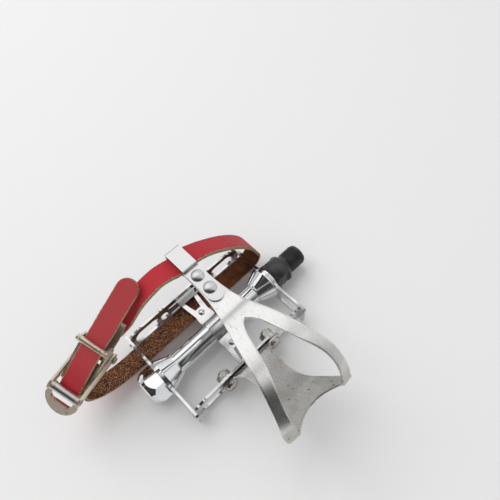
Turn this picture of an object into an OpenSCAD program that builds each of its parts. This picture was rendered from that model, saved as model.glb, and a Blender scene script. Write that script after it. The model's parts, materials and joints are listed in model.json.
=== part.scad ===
// Right-hand caged road pedal with a steel toe clip and a leather toe strap.
// +X runs along the spindle towards the crank, +Y towards the heel, +Z up.
// The origin is on the spindle axis, where the thread meets its shoulder.

/* [Cage] */
// Distance from the thread's shoulder to the middle of the cage
cage_offset = 61; // [58.5:0.5:66]
// Distance between the middles of the two end plates
cage_length = 89; // [84:1:96]
// Distance between the middles of the front and rear cage plates
cage_width = 59.7; // [56:0.5:64]
// Height of the cage plates at their middle
plate_h = 20.4; // [19:0.2:22]
// Thickness of the cage plates
plate_t = 1.5; // [1.2:0.1:1.8]
// Width of the rails along the top and bottom of the cage plates
rail_h = 3.4; // [3:0.1:3.8]
// How far the rails drop at the ends of the cage plates
rail_drop = 3.2; // [2:0.2:4]
// Height of the teeth on the rails
tooth_h = 1.1; // [0.8:0.1:1.4]
// Thickness of the end plates
end_t = 1.6; // [1.2:0.1:2]
// Half height of the arms of the end plates
arm_h = 8.7; // [8.2:0.1:9.2]
// How far the end plates reach past the cage plates
end_reach = 3.2; // [2:0.2:4]

/* [Barrel] */
// Outer diameter of the barrel tube
tube_d = 13.1; // [12.8:0.1:13.6]
// Wall of the barrel tube
tube_wall = 1.05; // [0.9:0.05:1.3]
// Outer diameter of the bearing cups at the end plates
cup_d = 22.6; // [22:0.2:23.6]
// Outer diameter of the cups where they meet the tube
cup_neck_d = 15.4; // [15:0.1:16.4]
// Length of the cups inside the cage
cup_len = 11; // [10:0.5:12]
// Diameter of the bearing balls
ball_d = 3.97; // [3.9:0.01:4.1]
// Radius of the circle of ball centres
ball_ring_r = 7; // [6.9:0.05:7.2]
// Distance across the flats of the dust cap
cap_flats = 20.6; // [20.4:0.1:21.6]
// Length of the dust cap outside the end plate
cap_len = 11.6; // [11:0.2:13]

/* [Spindle] */
// Outer diameter of the crank thread
thread_d = 14.28; // [14.2:0.01:14.4]
// Length of the crank thread
thread_len = 14; // [13:0.5:16]
// Diameter of the shoulder behind the thread
shoulder_d = 19; // [18.6:0.1:20]
// Distance across the wrench flats on the shoulder
wrench_flats = 15; // [14.6:0.1:15.4]
// Distance across the flats of the hexagon socket in the thread's end
socket_flats = 6; // [5:0.5:8]
// Depth of the hexagon socket
socket_depth = 8; // [6:0.5:10]
// Diameter of the spindle inside the barrel
spindle_d = 8.8; // [8.4:0.1:9.4]
// Diameter of the thread under the outer cone
cone_thread_d = 7; // [6.6:0.1:7.4]

/* [Bridge] */
// Width of the bridge's band round the tube
band_w = 11; // [9:0.5:13]
// Width of the bridge where it meets the cage plates
bridge_end_w = 13.6; // [12:0.2:15]
// Thickness of the bridge's sheet
bridge_t = 1.1; // [0.8:0.1:1.4]
// Distance of the bridge's rivets from the spindle axis
bridge_rivet_y = 13.9; // [13:0.1:15]
// Diameter of the bridge rivets
bridge_rivet_d = 2.5; // [2:0.1:3]

/* [Toe clip] */
// Distance between the two clip bolts
bolt_spacing = 36; // [34:0.5:38]
// Diameter of the clip bolts
bolt_d = 5; // [4.8:0.1:5.2]
// Height of the clip bolts above the spindle axis
bolt_z = 1; // [0:0.25:1.5]
// Thickness of the clip's sheet steel
clip_t = 1.2; // [1:0.1:1.4]
// Reach of the clip in front of the front cage plate
clip_reach = 50.7; // [44:0.5:60]
// Height of the clip's top above the spindle axis
clip_height = 62.6; // [56:0.5:70]
// Half width of the clip at its front corners
clip_half_w = 23.6; // [21:0.2:26]
// Diameter of the rivets through the clip's tongue
guide_rivet_d = 3; // [2.5:0.1:3.5]
// Diameter of the rivet heads
guide_head_d = 7.2; // [6.6:0.1:7.8]

/* [Toe strap] */
// Width of the strap
strap_w = 12.6; // [11:0.2:14]
// Thickness of the strap
strap_t = 2.3; // [2:0.1:2.6]
// Gap between the strap and the rear end of the bridge
strap_back_gap = 1; // [0.6:0.1:1.4]
// Angle at which the strap and its buckle lean back below the guide
strap_lean = 1.3; // [0.8:0.1:1.8]
// Thickness of the strap guide's sheet
guide_t = 1; // [0.8:0.1:1.2]
// Length of the strap guide along the strap
guide_len = 9.4; // [8:0.2:11]

/* [Buckle] */
// Distance of the buckle's roller beyond the outer end plate
buckle_reach = 41.8; // [38:0.2:46]
// Height of the buckle's roller above the spindle axis
buckle_z = 32.1; // [30:0.1:34]
// Slope of the buckle
buckle_angle = 27.5; // [25:0.5:30]
// Turn of the buckle about the length of the strap
buckle_roll = 17.8; // [14:0.2:22]
// Turn of the buckle about the line that stands on the strap
buckle_yaw = 6.6; // [4:0.2:9]
// Diameter of the roller
roller_d = 4.8; // [4.4:0.1:5.2]
// Diameter of the buckle's pins
pin_d = 2.4; // [2.2:0.1:2.6]
// Thickness of the buckle's cheeks
cheek_t = 1.2; // [1:0.1:1.4]

/* [Hidden] */

$fn = 48;
fit_gap = 0.02;   // radial gap of parts that are pressed or clamped together
run_gap = 0.05;   // radial gap of parts that turn on each other
free_gap = 0.3;   // gap beside parts that move

half_len = cage_length / 2;
half_wid = cage_width / 2;
end_inner = half_len - end_t / 2;
end_outer = half_len + end_t / 2;
plate_inner = half_wid - plate_t / 2;
plate_outer = half_wid + plate_t / 2;

// Places of the strap, which passes between the bridge and the rear cage plate
rivet_low_h = 0.5;                        // flat heads under the bridge, above the strap
strap_low = -bridge_t - rivet_low_h - 0.15 - strap_t / 2;
strap_top = clip_height - 0.4;            // middle of the strap in the guide
strap_foot_y = plate_inner - bridge_t - strap_back_gap - strap_w / 2;
strap_y = strap_foot_y - (strap_top - strap_low) * sin(strap_lean);

tube_r = tube_d / 2;
cup_r = cup_d / 2;
ball_r = ball_d / 2;
race_r = ball_r + run_gap;
ball_x = half_len - 2.5;                  // ball circle, from the cage's middle
cup_web_x = ball_x - race_r - 1.9;        // end of the tube's seat in the cup
collar_r = cup_r - 1.3;                   // collar through the end plate
collar_end = end_outer + 1.2;

// Profiles are drawn with x along the spindle, away from the cage's middle, and y as the radius.
module turned_out(side) {
    translate([-cage_offset, 0, 0])
        rotate([0, side * 90, 0])
            rotate_extrude() children();
}

// A profile drawn as (radius, distance from the cage's middle).
function arc(c, r, a0, a1, n = 6) =
    [for (i = [0:n]) let (a = a0 + (a1 - a0) * i / n) [c[0] + r * cos(a), c[1] + r * sin(a)]];

// Something drawn in x and z, extruded from y0 for a length t towards +Y.
module upright(y0, t) {
    translate([-cage_offset, y0 + t, 0])
        rotate([90, 0, 0])
            linear_extrude(t) children();
}

// Something drawn in y and z, extruded from x0 for a length t towards +X.
module endways(x0, t) {
    translate([x0 - cage_offset, 0, 0])
        rotate([90, 0, 90])
            linear_extrude(t) children();
}

module stadium(w, h) {
    r = min(w, h) / 2;
    square([w, h - 2 * r + 0.001 * r], center = true);
    square([w - 2 * r + 0.001 * r, h], center = true);
    for (x = [-1, 1], y = [-1, 1])
        translate([x * (w / 2 - r), y * (h / 2 - r)]) circle(r);
}

module rounded_rect(w, h, r) {
    square([w, h - 2 * r], center = true);
    square([w - 2 * r, h], center = true);
    for (x = [-1, 1], y = [-1, 1])
        translate([x * (w / 2 - r), y * (h / 2 - r)]) circle(r);
}

// Smooth curve through points, with n steps between neighbours.
function bend(p0, p1, p2, p3, t) =
    0.5 * (2 * p1 + (p2 - p0) * t + (2 * p0 - 5 * p1 + 4 * p2 - p3) * t * t
        + (3 * p1 - p0 - 3 * p2 + p3) * t * t * t);
function smooth(p, n) = let (m = len(p) - 1) concat(
    [for (i = [0:m - 1]) for (k = [0:n - 1])
        bend(p[max(i - 1, 0)], p[i], p[i + 1], p[min(i + 2, m)], k / n)],
    [p[m]]);

// Closed outline from its first quadrant, which runs from the middle of the top to the right end.
function back(p) = [for (i = [len(p) - 1:-1:0]) p[i]];
function fourfold(p) = concat(p, back([for (q = p) [q[0], -q[1]]]), [for (q = p) -q],
    back([for (q = p) [-q[0], q[1]]]));

// Outline of a band of thickness t that follows a line of points.
function side_of(p, i) =
    let (d = p[min(i + 1, len(p) - 1)] - p[max(i - 1, 0)]) [-d[1], d[0]] / norm(d);
function band(p, t) = concat(
    [for (i = [0:len(p) - 1]) p[i] + side_of(p, i) * t / 2],
    [for (i = [len(p) - 1:-1:0]) p[i] - side_of(p, i) * t / 2]);

// Barrel

tube_seat_gap = fit_gap;

module barrel_tube() {
    color([0.78, 0.78, 0.8])
        translate([-cage_offset - cup_web_x, 0, 0])
            rotate([0, 90, 0])
                difference() {
                    cylinder(h = 2 * cup_web_x, r = tube_r);
                    translate([0, 0, -1])
                        cylinder(h = 2 * cup_web_x + 2, r = tube_r - tube_wall);
                }
}

cup_rim = 1;                              // straight rim of the cup at the end plate
web_bore_r = ball_ring_r - race_r + 0.45; // hole for the spindle in the cup's web

module cup_profile() {
    polygon(concat(
        [[tube_r + tube_seat_gap, end_inner - cup_len], [cup_neck_d / 2, end_inner - cup_len],
            [cup_neck_d / 2 + 0.1, end_inner - cup_len + 0.9],
            [cup_r, end_inner - cup_rim], [cup_r, end_inner],
            [collar_r, end_inner], [collar_r, collar_end],
            [ball_ring_r + race_r, collar_end]],
        arc([ball_ring_r, ball_x], race_r, 0, -90),
        [[web_bore_r, ball_x - race_r], [web_bore_r, cup_web_x],
            [tube_r + tube_seat_gap, cup_web_x]]));
}

module inner_cup() {
    color([0.8, 0.8, 0.82]) turned_out(1) cup_profile();
}

module outer_cup() {
    color([0.8, 0.8, 0.82]) turned_out(-1) cup_profile();
}

// Cage

end_half_wid = plate_outer + end_reach;
tenon_h = 5;                              // height of the tenons of the cage plates
tenon_out = 0.7;                          // what shows of a tenon outside the end plate
arm_waist = 1;                            // how much lower the arms are near the barrel
window_y0 = strap_foot_y - strap_w / 2 - 0.8;
window_y1 = strap_foot_y + strap_w / 2 + 0.7;
window_h = 2 * (arm_h - 3.5);

module end_plate_outline() {
    disc = [for (a = [0:5:40]) cup_r * [sin(a), cos(a)]];
    arm = smooth([disc[8], [cup_r - 1.9, arm_h - arm_waist + 0.25], [cup_r + 1.6, arm_h - arm_waist],
        [cup_r + 6, arm_h - arm_waist], [plate_inner - 3, arm_h - 0.1],
        [end_half_wid - 1.2, arm_h]], 4);
    difference() {
        polygon(fourfold(concat([for (i = [0:7]) disc[i]], arm, [[end_half_wid, arm_h - 1.2]])));
        circle(collar_r + fit_gap, $fn = 96);
        for (y = [-1, 1]) {
            translate([y * (window_y0 + window_y1) / 2, 0])
                rounded_rect(window_y1 - window_y0, window_h, 1.6);
            translate([y * half_wid, 0])
                square([plate_t + 2 * fit_gap, tenon_h + 2 * fit_gap], center = true);
        }
    }
}

module inner_end_plate() {
    color([0.82, 0.82, 0.84]) endways(end_inner, end_t) end_plate_outline();
}

module outer_end_plate() {
    color([0.82, 0.82, 0.84]) endways(-end_outer, end_t) end_plate_outline();
}

lobe_r = plate_h / 2 - rail_h - 0.6;      // round lobes that carry the clip bolts
straight_half = 31;                       // half length of the straight part of a rail
tooth_w = 1.1;
teeth_x = [bolt_spacing / 2 - 0.8, bolt_spacing / 2 + 1.8, straight_half + 3.3,
    straight_half + 5.3, straight_half + 9.6];
mid_bar_h = 6.6;                          // bar between the lobes, which the bridge holds
mid_slot_h = 1.9;                         // slots above and below that bar
bolt_slot_w = bolt_d + 0.4;
bolt_slot_h = bolt_d + 2.4;

// Height of a rail's outer edge at a distance x from the middle.
function rail_top(x) = plate_h / 2 - (x <= straight_half ? 0 :
    rail_drop * (1 - cos(90 * (x - straight_half) / (end_inner - straight_half))));

function tooth(x) = [[x - tooth_w / 2, rail_top(x)], [x - tooth_w / 2, rail_top(x) + tooth_h],
    [x + tooth_w / 2, rail_top(x) + tooth_h], [x + tooth_w / 2, rail_top(x)]];

module cage_plate_outline() {
    edge = concat([for (x = teeth_x) each tooth(x)],
        [for (x = [teeth_x[4] + 1 : 1 : end_inner - 0.5]) [x, rail_top(x)]],
        [[end_inner, rail_top(end_inner)], [end_inner, tenon_h / 2],
            [end_outer + tenon_out, tenon_h / 2]]);
    slot_x0 = bolt_spacing / 2 + lobe_r - 1;
    slot_x1 = end_inner - 5;
    slot_r = plate_h / 2 - rail_h - 0.9;
    difference() {
        polygon(fourfold(edge));
        for (x = [-1, 1]) {
            difference() {
                translate([x * (slot_x0 + slot_x1) / 2, 0])
                    rounded_rect(slot_x1 - slot_x0 + 4, 2 * slot_r, slot_r - 0.3);
                translate([x * bolt_spacing / 2, 0]) circle(lobe_r);
                translate([x * bolt_spacing / 4, 0])
                    square([bolt_spacing / 2, plate_h], center = true);
            }
            translate([x * bolt_spacing / 2, 0]) stadium(bolt_slot_w, bolt_slot_h);
        }
        for (z = [-1, 1])
            difference() {
                translate([0, z * (mid_bar_h + mid_slot_h) / 2])
                    square([bolt_spacing, mid_slot_h], center = true);
                for (x = [-1, 1])
                    translate([x * bolt_spacing / 2, 0]) circle(lobe_r);
            }
    }
}

module front_cage_plate() {
    color([0.75, 0.76, 0.78]) upright(-plate_outer, plate_t) cage_plate_outline();
}

module rear_cage_plate() {
    color([0.75, 0.76, 0.78]) upright(plate_inner, plate_t) cage_plate_outline();
}

// Bridge: two stamped halves that clamp the tube and are riveted together

module bridge_wing() {
    waist = band_w - 0.8;
    side = smooth([[tube_r - 1, band_w / 2], [bridge_rivet_y - 3, band_w / 2],
        [bridge_rivet_y, waist / 2], [plate_inner - 7, bridge_end_w / 2 - 0.8],
        [plate_inner, bridge_end_w / 2]], 4);
    window_in = bridge_rivet_y + 3.6;
    window_out = plate_inner - 3;
    right = [for (p = side) [p[1], p[0]]];
    difference() {
        polygon(concat(right, back([for (p = right) [-p[0], p[1]]])));
        translate([0, bridge_rivet_y]) circle(bridge_rivet_d / 2 + fit_gap);
        polygon([[-2.2, window_in], [2.2, window_in], [4, window_out], [-4, window_out]]);
    }
}

module bridge_half() {
    translate([-cage_offset, 0, 0])
        difference() {
            union() {
                rotate([0, 90, 0])
                    cylinder(h = band_w, r = tube_r + fit_gap + bridge_t, center = true);
                for (y = [-1, 1])
                    scale([1, y, 1]) {
                        linear_extrude(bridge_t) bridge_wing();
                        translate([-bridge_end_w / 2, plate_inner - bridge_t, 0])
                            cube([bridge_end_w, bridge_t, mid_bar_h / 2]);
                    }
            }
            rotate([0, 90, 0])
                cylinder(h = band_w + 2, r = tube_r + fit_gap, center = true);
            translate([-band_w, -cage_width, -cage_width])
                cube([2 * band_w, 2 * cage_width, cage_width]);
        }
}

module bridge_upper() {
    color([0.8, 0.8, 0.8]) bridge_half();
}

module bridge_lower() {
    color([0.8, 0.8, 0.8]) mirror([0, 0, 1]) bridge_half();
}

// A rivet along Z, with a lower head of height low_h and an upper one of height head_h.
module domed_rivet(shank_d, head_d, head_h, low_h, z0, z1) {
    rotate_extrude()
        polygon(concat([[0, z0 - low_h]],
            [for (a = [15:15:90]) [head_d / 2 * sin(a), z0 - low_h * cos(a)]],
            [[shank_d / 2, z0], [shank_d / 2, z1]],
            [for (a = [90:-15:15]) [head_d / 2 * sin(a), z1 + head_h * cos(a)]],
            [[0, z1 + head_h]]));
}

module bridge_rivets() {
    color([0.7, 0.7, 0.7])
        for (y = [-1, 1])
            translate([-cage_offset, y * bridge_rivet_y, 0])
                domed_rivet(bridge_rivet_d, bridge_rivet_d + 1.6, 1.1, rivet_low_h, -bridge_t,
                    bridge_t);
}

// Bearings and spindle

cone_back = collar_end - 0.3;
washer_t = 1.2;
nut_t = 4;
spindle_end = cone_back + washer_t + nut_t + 0.6;
cone_r = ball_ring_r - 0.6;
cap_end = end_outer + cap_len;
cap_seat = end_outer + 0.1;

module dust_cap() {
    nose_r = 8;
    dish_r = 6.2;
    color([0.84, 0.84, 0.86])
        intersection() {
            turned_out(-1)
                polygon([[collar_r + fit_gap, cap_seat], [cap_flats, cap_seat],
                    [cap_flats, cap_end - 7], [cap_flats * 0.57, cap_end - 5.4],
                    [nose_r + 1.2, cap_end - 1.1], [nose_r, cap_end - 0.2], [nose_r - 0.6, cap_end],
                    [dish_r + 0.4, cap_end], [dish_r, cap_end - 0.3], [dish_r - 0.8, cap_end - 1.4],
                    [0, cap_end - 1.6], [0, spindle_end + 0.6], [cone_r, spindle_end + 0.6],
                    [collar_r - 1, spindle_end - 2.4], [collar_r - 1, collar_end + 0.3],
                    [collar_r + fit_gap, collar_end + 0.3]]);
            translate([-cage_offset - cap_end - 1, 0, 0])
                rotate([0, 90, 0])
                    rotate([0, 0, 30])
                        cylinder(h = cap_len + 2, r = cap_flats / 2 / cos(30), $fn = 6);
        }
}

shoulder_x0 = collar_end + 0.6;           // inner face of the shoulder
shoulder_x1 = cage_offset;                // its face at the crank
flat_x0 = shoulder_x0 + 2.4;
flat_x1 = shoulder_x1 - 3.4;

module spindle() {
    color([0.12, 0.12, 0.13])
        difference() {
            turned_out(1)
                polygon(concat(
                    [[0, -spindle_end], [cone_thread_d / 2 - 0.6, -spindle_end],
                        [cone_thread_d / 2, -spindle_end + 0.6],
                        [cone_thread_d / 2, -ball_x + 2.6], [spindle_d / 2, -ball_x + 3.4],
                        [spindle_d / 2, ball_x - 2.4], [ball_ring_r - race_r, ball_x - 1.6]],
                    arc([ball_ring_r, ball_x], race_r, -180, -245),
                    [[cone_r + 0.2, ball_x + race_r], [cone_r + 0.2, shoulder_x0],
                        [shoulder_d / 2 - 0.4, shoulder_x0], [shoulder_d / 2, shoulder_x0 + 0.4],
                        [shoulder_d / 2, shoulder_x1 - 2.2], [shoulder_d / 2 - 1.3, shoulder_x1],
                        [thread_d / 2, shoulder_x1], [thread_d / 2, shoulder_x1 + thread_len - 1],
                        [thread_d / 2 - 1, shoulder_x1 + thread_len],
                        [0, shoulder_x1 + thread_len]]));
            for (s = [-1, 1])
                translate([flat_x0 - cage_offset, s * (wrench_flats / 2 + 5) - 5, -shoulder_d])
                    cube([flat_x1 - flat_x0, 10, 2 * shoulder_d]);
            translate([thread_len - socket_depth, 0, 0])
                rotate([0, 90, 0])
                    cylinder(h = socket_depth + 1, r = socket_flats / 2 / cos(30), $fn = 6);
        }
}

module outer_cone() {
    color([0.6, 0.6, 0.62])
        turned_out(-1)
            polygon(concat(
                [[cone_thread_d / 2 + fit_gap, ball_x - 1.6], [ball_ring_r - race_r - 0.2, ball_x - 1.6]],
                arc([ball_ring_r, ball_x], race_r, -180, -245),
                [[cone_r, ball_x + race_r], [cone_r, cone_back],
                    [cone_thread_d / 2 + fit_gap, cone_back]]));
}

module lock_washer() {
    color([0.7, 0.7, 0.7])
        turned_out(-1)
            polygon([[cone_thread_d / 2 + 0.1, cone_back], [cone_r, cone_back],
                [cone_r, cone_back + washer_t], [cone_thread_d / 2 + 0.1, cone_back + washer_t]]);
}

module lock_nut() {
    color([0.65, 0.65, 0.65])
        translate([-cage_offset - cone_back - washer_t - nut_t, 0, 0])
            rotate([0, 90, 0])
                difference() {
                    cylinder(h = nut_t, r = cone_r, $fn = 6);
                    translate([0, 0, -1]) cylinder(h = nut_t + 2, r = cone_thread_d / 2 + fit_gap);
                }
}

ball_count = floor(360 / (2 * asin((ball_r + 0.06) / ball_ring_r)));

module ball_set(side) {
    for (i = [0:ball_count - 1])
        rotate([i * 360 / ball_count, 0, 0])
            translate([side * ball_x - cage_offset, 0, ball_ring_r])
                sphere(ball_r, $fn = 24);
}

module inner_balls() {
    color([0.75, 0.75, 0.78]) ball_set(1);
}

module outer_balls() {
    color([0.75, 0.75, 0.78]) ball_set(-1);
}

// Toe clip

clip_y = -plate_outer - clip_t / 2;       // middle of the clip's tab
ear_r = 7;
neck_w = 12.3;                            // half width of the clip's neck
neck_z = 8.4;                             // height of the neck at its bend
front_y = clip_y - clip_reach;            // the clip's foremost line

guide_y0 = strap_y - strap_w / 2 - 0.9;   // the guide's loop round the strap
guide_y1 = strap_y + strap_w / 2 + 0.6;
top_len = guide_y0 - 31.5 - front_y;      // length of the clip's top in front of its tongue

// Rows along the clip's middle line: y, z and half width, from the tab to the tongue.
clip_rows = [
    [clip_y, neck_z - 6, neck_w], [clip_y, neck_z - 3.6, neck_w], [clip_y - 0.5, neck_z - 1.5, neck_w],
    [clip_y - 2.2, neck_z - 0.2, neck_w], [clip_y - 6, neck_z + 1.7, neck_w - 0.7],
    [clip_y - clip_reach * 0.27, neck_z + 5.6, neck_w - 1.6],
    [clip_y - clip_reach * 0.52, neck_z + 12.4, neck_w - 2.4],
    [clip_y - clip_reach * 0.66, neck_z + 17.6, neck_w - 0.7],
    [clip_y - clip_reach * 0.8, neck_z + 24.4, neck_w + 3.4],
    [clip_y - clip_reach * 0.92, neck_z + 30.6, clip_half_w - 3.4],
    [front_y + 1.2, neck_z + 33.6, clip_half_w - 0.8],
    [front_y, neck_z + 36, clip_half_w + 0.4],
    [front_y + 0.6, neck_z + 39.4, clip_half_w + 0.8],
    [front_y + 4.2, clip_height - 9, clip_half_w + 0.6],
    [front_y + 0.168 * top_len, clip_height - 3, clip_half_w - 1],
    [front_y + 0.306 * top_len, clip_height + 3.6, clip_half_w - 3.2],
    [front_y + 0.468 * top_len, clip_height + 6, clip_half_w - 6.3],
    [front_y + 0.694 * top_len, clip_height + 5.4, clip_half_w - 9.9],
    [front_y + 0.903 * top_len, clip_height + 2.8, clip_half_w - 13.9],
    [front_y + top_len, clip_height + 0.8, 8],
    [guide_y0 - 25.5, clip_height, 6.7],
    [guide_y0 - 19.5, clip_height, 5.8],
    [guide_y0 - 11.5, clip_height, 5.1],
    [guide_y0 - 2.1, clip_height, 5]];
clip_line = smooth(clip_rows, 4);
clip_n = len(clip_line);
edge_i = 38;                              // station of the front edge's middle
crotch_i = 71;                            // station of the crotch between the arms
edge_half = 5;                            // half width of the straight part of the front edge
crotch_half = 1.5;

// Half width of the opening between the arms at a station.
function opening_half(i) =
    i <= edge_i ? edge_half :
    i >= crotch_i ? crotch_half :
    let (arm = clip_line[i][2] - 8.2,
        front = edge_half + (arm - edge_half) * pow(min(1, (i - edge_i) / 8), 0.55),
        back = crotch_half + 1.1 * sqrt(crotch_i - i) + 0.34 * (crotch_i - i))
    min(front, back, arm);

function clip_normal(i) =
    let (a = clip_line[max(i - 1, 0)], b = clip_line[min(i + 1, clip_n - 1)],
        d = [b[0] - a[0], b[1] - a[1]]) [-d[1], d[0]] / norm(d);
function clip_point(i, x, s) =
    let (m = clip_normal(i)) [x, clip_line[i][0] + s * m[0] * clip_t / 2,
        clip_line[i][1] + s * m[1] * clip_t / 2];
function quad(a, b, c, d) = [[a, b, c], [a, c, d]];

module clip_sheet() {
    points = [for (i = [0:clip_n - 1]) for (s = [1, -1])
        for (x = [-clip_line[i][2], -opening_half(i), opening_half(i), clip_line[i][2]])
            clip_point(i, x, s)];
    faces = concat(
        [for (i = [0:clip_n - 2]) let (k = 8 * i, n = k + 8)
            each concat(quad(k, n, n + 1, k + 1), quad(k + 2, n + 2, n + 3, k + 3),
                quad(k + 5, n + 5, n + 4, k + 4), quad(k + 7, n + 7, n + 6, k + 6),
                quad(k + 4, n + 4, n, k), quad(k + 3, n + 3, n + 7, k + 7))],
        [for (i = [0:clip_n - 2]) let (k = 8 * i, n = k + 8)
            each (i < edge_i || i >= crotch_i) ?
                concat(quad(k + 1, n + 1, n + 2, k + 2), quad(k + 6, n + 6, n + 5, k + 5)) :
                concat(quad(k + 1, n + 1, n + 5, k + 5), quad(k + 6, n + 6, n + 2, k + 2))],
        let (e = 8 * edge_i, c = 8 * crotch_i)
            concat(quad(e + 1, e + 2, e + 6, e + 5), quad(c + 2, c + 1, c + 5, c + 6)),
        let (m = 8 * (clip_n - 1)) concat(
            quad(0, 1, 5, 4), quad(1, 2, 6, 5), quad(2, 3, 7, 6),
            quad(m + 4, m + 5, m + 1, m), quad(m + 5, m + 6, m + 2, m + 1),
            quad(m + 6, m + 7, m + 3, m + 2)));
    polyhedron(points, faces, convexity = 6);
}

rivet_y = [guide_y0 - 15.4, guide_y0 - 6]; // rivets through the tongue

module toe_clip() {
    color([0.72, 0.72, 0.71])
        difference() {
            union() {
                upright(-plate_outer - clip_t, clip_t)
                    difference() {
                        union() {
                            for (x = [-1, 1])
                                translate([x * bolt_spacing / 2, bolt_z]) circle(ear_r);
                            translate([-bolt_spacing / 2, bolt_z - ear_r])
                                square([bolt_spacing, neck_z - 4 - bolt_z + ear_r]);
                        }
                        for (x = [-1, 1])
                            translate([x * bolt_spacing / 2, bolt_z])
                                circle(bolt_d / 2 + 0.2);
                    }
                translate([-cage_offset, 0, 0]) clip_sheet();
            }
            for (y = rivet_y)
                translate([-cage_offset, y, clip_height - 5])
                    cylinder(h = 10, r = guide_rivet_d / 2 + fit_gap);
        }
}

bolt_head_h = 3.4;
bolt_washer_t = 1;
bolt_nut_t = 4;
bolt_tip = plate_inner - bolt_washer_t - bolt_nut_t - 1.4;

module clip_bolts() {
    head_y = plate_outer + clip_t;
    color([0.8, 0.76, 0.6])
        for (x = [-1, 1])
            translate([x * bolt_spacing / 2 - cage_offset, 0, bolt_z])
                rotate([90, 0, 0])
                    difference() {
                        rotate_extrude()
                            polygon([[0, bolt_tip], [bolt_d / 2 - 0.5, bolt_tip],
                                [bolt_d / 2, bolt_tip + 0.5], [bolt_d / 2, head_y],
                                [4.5, head_y], [4.5, head_y + 1.2], [4, head_y + 2.3],
                                [2.8, head_y + 3.1], [0, head_y + bolt_head_h]]);
                        translate([-5, -0.5, head_y + bolt_head_h - 1.5]) cube([10, 1, 3]);
                    }
}

module clip_washers() {
    color([0.75, 0.75, 0.75])
        for (x = [-1, 1])
            translate([x * bolt_spacing / 2 - cage_offset, -plate_inner + bolt_washer_t, bolt_z])
                rotate([90, 0, 0])
                    difference() {
                        cylinder(h = bolt_washer_t, r = 4.8);
                        translate([0, 0, -1]) cylinder(h = 3, r = bolt_d / 2 + 0.15);
                    }
}

module clip_nuts() {
    color([0.72, 0.7, 0.6])
        for (x = [-1, 1])
            translate([x * bolt_spacing / 2 - cage_offset,
                -plate_inner + bolt_washer_t + bolt_nut_t, bolt_z])
                rotate([90, 0, 0])
                    difference() {
                        intersection() {
                            cylinder(h = bolt_nut_t, r = 4 / cos(30), $fn = 6);
                            cylinder(h = bolt_nut_t, r1 = 4.1, r2 = 4.1 + bolt_nut_t, $fn = 48);
                        }
                        translate([0, 0, -1]) cylinder(h = bolt_nut_t + 2, r = bolt_d / 2 + fit_gap);
                    }
}

// Strap guide: a strip riveted on the clip's tongue and folded into a loop round the strap

guide_low = strap_top - strap_t / 2 - free_gap;
guide_high = strap_top + strap_t / 2 + 1.7;
tongue_z = clip_height + clip_t / 2;      // the guide's tongue lies on the clip
tongue_y = rivet_y[0] - 3.8;

module strap_guide() {
    loop_w = guide_y1 - guide_y0 + 2 * guide_t;
    loop_h = guide_high - guide_low + 2 * guide_t;
    color([0.8, 0.8, 0.8])
        difference() {
            union() {
                endways(-guide_len / 2, guide_len)
                    difference() {
                        translate([(guide_y0 + guide_y1) / 2, (guide_low + guide_high) / 2])
                            rounded_rect(loop_w, loop_h, 1.5);
                        translate([(guide_y0 + guide_y1) / 2, (guide_low + guide_high) / 2])
                            rounded_rect(guide_y1 - guide_y0, guide_high - guide_low, 0.5);
                    }
                translate([-cage_offset, 0, tongue_z])
                    linear_extrude(guide_t) {
                        translate([0, tongue_y]) circle(guide_len / 2);
                        translate([-guide_len / 2, tongue_y])
                            square([guide_len, guide_y0 - guide_t / 2 - tongue_y]);
                    }
            }
            for (y = rivet_y)
                translate([-cage_offset, y, tongue_z - 1])
                    cylinder(h = guide_t + 2, r = guide_rivet_d / 2 + fit_gap);
        }
}

module guide_rivets() {
    color([0.82, 0.82, 0.82])
        for (y = rivet_y)
            translate([-cage_offset, y, 0])
                domed_rivet(guide_rivet_d, guide_head_d, 1.6, 1, clip_height - clip_t / 2,
                    tongue_z + guide_t);
}

// Buckle frame of reference, from the middle of the roller: u runs up along the tail of the
// strap, y across it and n away from the loop

buckle_at = [-half_len - buckle_reach, -0.7, buckle_z];
function about_x(p, a) = [p[0], p[1] * cos(a) - p[2] * sin(a), p[1] * sin(a) + p[2] * cos(a)];
function about_y(p, a) = [p[0] * cos(a) + p[2] * sin(a), p[1], p[2] * cos(a) - p[0] * sin(a)];
function about_z(p, a) = [p[0] * cos(a) - p[1] * sin(a), p[0] * sin(a) + p[1] * cos(a), p[2]];
function in_loop(p) = about_y(about_x(about_z(p, buckle_yaw), buckle_roll), -buckle_angle);
function from_buckle(p) = buckle_at + in_loop([p[0], 0, p[1]]);

// Leans the strap and what it holds about its middle in the guide.
module leaning() {
    translate([0, strap_y, strap_top])
        rotate([strap_lean, 0, 0])
            translate([0, 0, -strap_top]) children();
}

module in_buckle() {
    leaning()
        translate([buckle_at[0] - cage_offset, buckle_at[1], buckle_at[2]])
            rotate([0, -buckle_angle, 0])
                rotate([buckle_roll, 0, 0])
                    rotate([0, 0, buckle_yaw]) children();
}

// Something drawn in u and n, extruded over y from y0 to y1 about the strap's middle.
module buckle_side(y0, y1) {
    in_buckle()
        translate([0, y1, 0])
            rotate([90, 0, 0])
                linear_extrude(y1 - y0) children();
}

roller_r = roller_d / 2;
pin_r = pin_d / 2;
bar_at = [22.5, -14.3];                   // bar that the strap's end is folded round
bar_r = 1.4;
wrap_r = bar_r + 0.15 + strap_t / 2;      // middle of the strap round the bar
end_slope = -3;                           // slope of the folded end in the buckle
cheek_y = strap_w / 2 + 0.8;              // inner face of a cheek, from the strap's middle
cheek_out = cheek_y + cheek_t;
yoke_y = cheek_out + free_gap;            // inner face of a yoke arm
yoke_out = yoke_y + cheek_t;
ear_y = strap_w / 2 + 0.35;               // inner face of the yoke beside the roller

function off_bar(along, across) = bar_at
    + [along * cos(end_slope) - across * sin(end_slope),
        along * sin(end_slope) + across * cos(end_slope)];

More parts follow.
